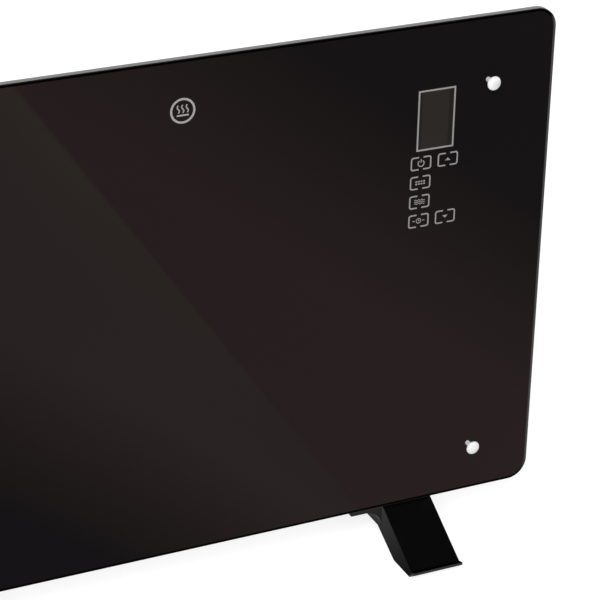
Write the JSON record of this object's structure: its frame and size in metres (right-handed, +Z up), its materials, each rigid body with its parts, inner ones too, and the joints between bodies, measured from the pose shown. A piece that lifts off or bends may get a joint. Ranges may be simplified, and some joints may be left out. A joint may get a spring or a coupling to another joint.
{
  "type": "glass panel heater",
  "caption": "Low convector heater with a dark glass front held on four studs, touch controls at the upper right, and two moulded feet.",
  "frame": {"origin": "on the floor under the middle of the heater, midway between the ends of its feet", "axes": "+X along the width towards the controls, +Y from the glass front to the back, +Z up"},
  "size_m": [0.6, 0.1768, 0.442],
  "materials": {
    "front_glass": "dark glossy glass, printed black behind",
    "studs": "polished",
    "silicone": "matte",
    "case_paint": "satin black powder coat",
    "bright_steel": "zinc plated",
    "aluminium": "mill finish",
    "ceramic": "unglazed ceramic",
    "black_moulding": "fine moulded texture",
    "white_moulding": "smooth",
    "circuit_board": "solder mask",
    "display": "unlit display",
    "relay_case": "smooth"
  },
  "bodies": {
    "heater": {"front_glass": "front_glass", "stud_top_left": "studs", "stud_top_right": "studs", "stud_low_left": "studs", "stud_low_right": "studs", "spacer_top_left": "silicone", "spacer_top_right": "silicone", "spacer_low_left": "silicone", "spacer_low_right": "silicone", "nut_top_left": "bright_steel", "nut_top_right": "bright_steel", "nut_low_left": "bright_steel", "nut_low_right": "bright_steel", "front_plate": "case_paint", "plate_screw_1": "bright_steel", "plate_screw_2": "bright_steel", "plate_screw_3": "bright_steel", "plate_screw_4": "bright_steel", "plate_screw_5": "bright_steel", "plate_screw_6": "bright_steel", "rear_case": "case_paint", "outlet_grille": "black_moulding", "inlet_grille": "black_moulding", "heat_baffle": "bright_steel", "heat_reflector": "aluminium", "element_fins": "aluminium", "element_rod": "bright_steel", "element_bush_left": "ceramic", "element_bush_right": "ceramic", "element_bracket_left": "bright_steel", "element_bracket_right": "bright_steel", "safety_cutout": "black_moulding", "control_tray": "black_moulding", "touch_board": "circuit_board", "display_module": "display", "board_carrier": "black_moulding", "power_board": "circuit_board", "relay_1": "relay_case", "relay_2": "relay_case", "supply_transformer": "black_moulding", "capacitor": "aluminium", "terminal_block": "white_moulding", "sensor_clip": "white_moulding", "room_sensor": "bright_steel", "tip_switch_box": "black_moulding", "tip_switch_cover": "white_moulding", "rocker_body": "black_moulding", "cord_gland": "black_moulding", "foot_left": "black_moulding", "foot_right": "black_moulding", "foot_screw_left_inner": "bright_steel", "foot_screw_left_outer": "bright_steel", "foot_screw_right_inner": "bright_steel", "foot_screw_right_outer": "bright_steel"},
    "rocker": {"rocker_key": "black_moulding"},
    "tip_weight": {"tip_switch_weight": "bright_steel"}
  },
  "joints": [
    {"name": "rocker_tilt", "type": "hinge", "parent": "heater", "child": "rocker", "pos_m": [0.2783, 0, 0.123], "axis": [0, -1, 0], "range_deg": [0, 20]},
    {"name": "tip_swing", "type": "hinge", "parent": "heater", "child": "tip_weight", "pos_m": [0.2208, 0.01027, 0.158], "axis": [1, 0, 0], "range_deg": [-20, 20]}
  ]
}
